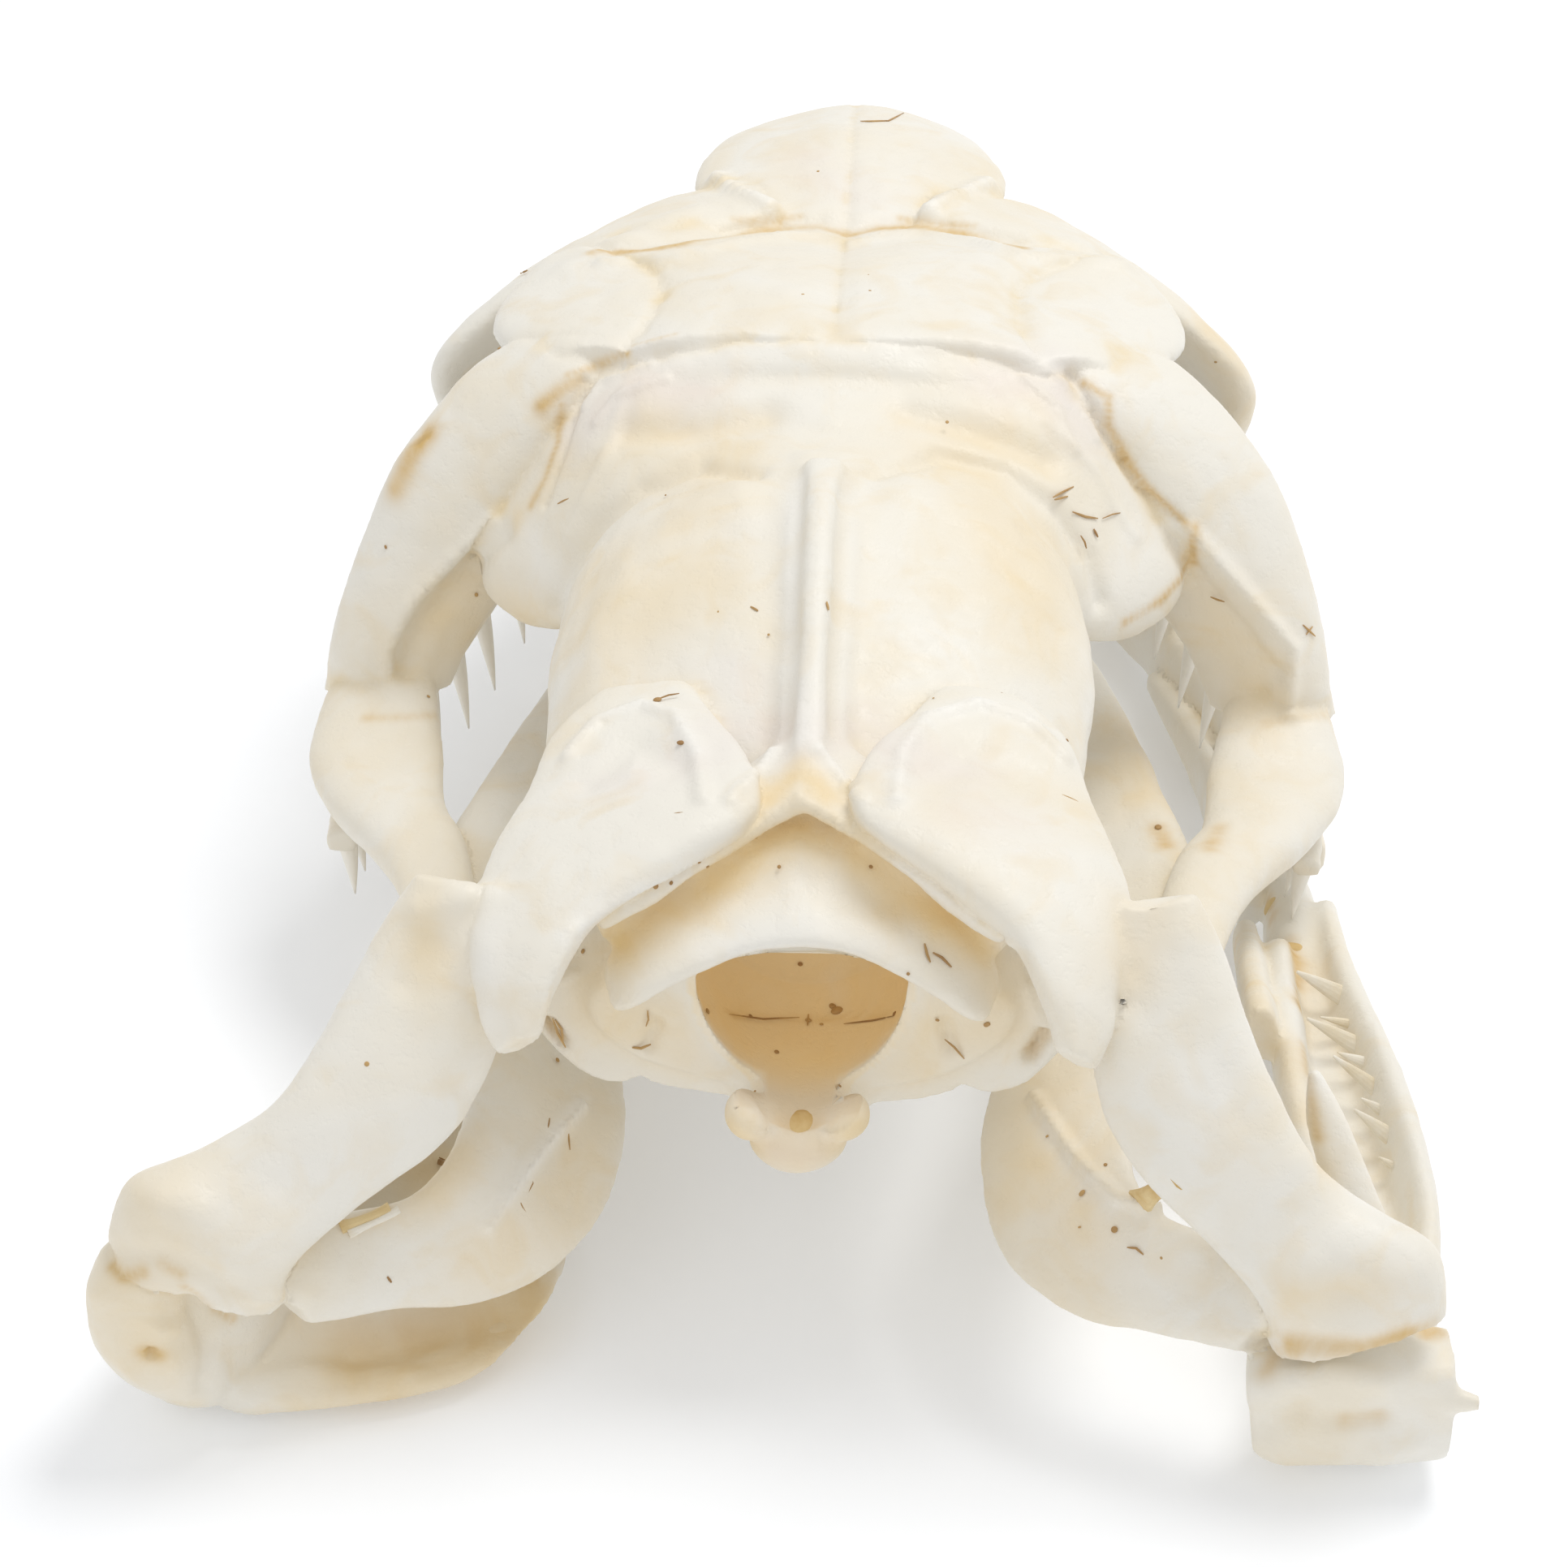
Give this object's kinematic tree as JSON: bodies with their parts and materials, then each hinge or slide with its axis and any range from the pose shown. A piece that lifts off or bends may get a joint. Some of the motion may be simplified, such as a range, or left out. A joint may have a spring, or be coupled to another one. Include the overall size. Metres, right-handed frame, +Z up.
{
  "type": "python skull",
  "caption": "Cleaned python skull resting on its spread lower jaws, with a crested braincase, long slanting quadrates and back-curved teeth",
  "frame": {"origin": "centre of the bounding box at floor level, under the skull", "axes": "+X to the skull's own right, +Y to the tip of the snout, +Z up; the floor is Z = 0"},
  "size_m": [0.0308, 0.0432, 0.0159],
  "materials": {
    "skull_bone": "matt ivory bone, slightly translucent, with ochre stains in its seams",
    "jaw_bone": "matt ivory bone with tan recesses and dried tissue"
  },
  "bodies": {
    "root": {"basioccipital": "skull_bone", "compound_left": "jaw_bone", "compound_right": "jaw_bone", "coronoid_left": "jaw_bone", "coronoid_right": "jaw_bone", "dentary_left": "jaw_bone", "dentary_right": "jaw_bone", "ectopterygoid_left": "skull_bone", "ectopterygoid_right": "skull_bone", "exoccipital_left": "skull_bone", "exoccipital_right": "skull_bone", "frontal_left": "skull_bone", "frontal_right": "skull_bone", "maxilla_left": "skull_bone", "maxilla_right": "skull_bone", "nasal_left": "skull_bone", "nasal_right": "skull_bone", "palatine_left": "skull_bone", "palatine_right": "skull_bone", "parabasisphenoid": "skull_bone", "parietal": "skull_bone", "postorbital_left": "skull_bone", "postorbital_right": "skull_bone", "prefrontal_left": "skull_bone", "prefrontal_right": "skull_bone", "premaxilla": "skull_bone", "prootic_left": "skull_bone", "prootic_right": "skull_bone", "pterygoid_left": "skull_bone", "pterygoid_right": "skull_bone", "quadrate_left": "skull_bone", "quadrate_right": "skull_bone", "septomaxilla_left": "skull_bone", "septomaxilla_right": "skull_bone", "splenial_left": "jaw_bone", "splenial_right": "jaw_bone", "supraoccipital": "skull_bone", "supraorbital_left": "skull_bone", "supraorbital_right": "skull_bone", "supratemporal_left": "skull_bone", "supratemporal_right": "skull_bone", "vomer_left": "skull_bone", "vomer_right": "skull_bone"}
  },
  "joints": []
}
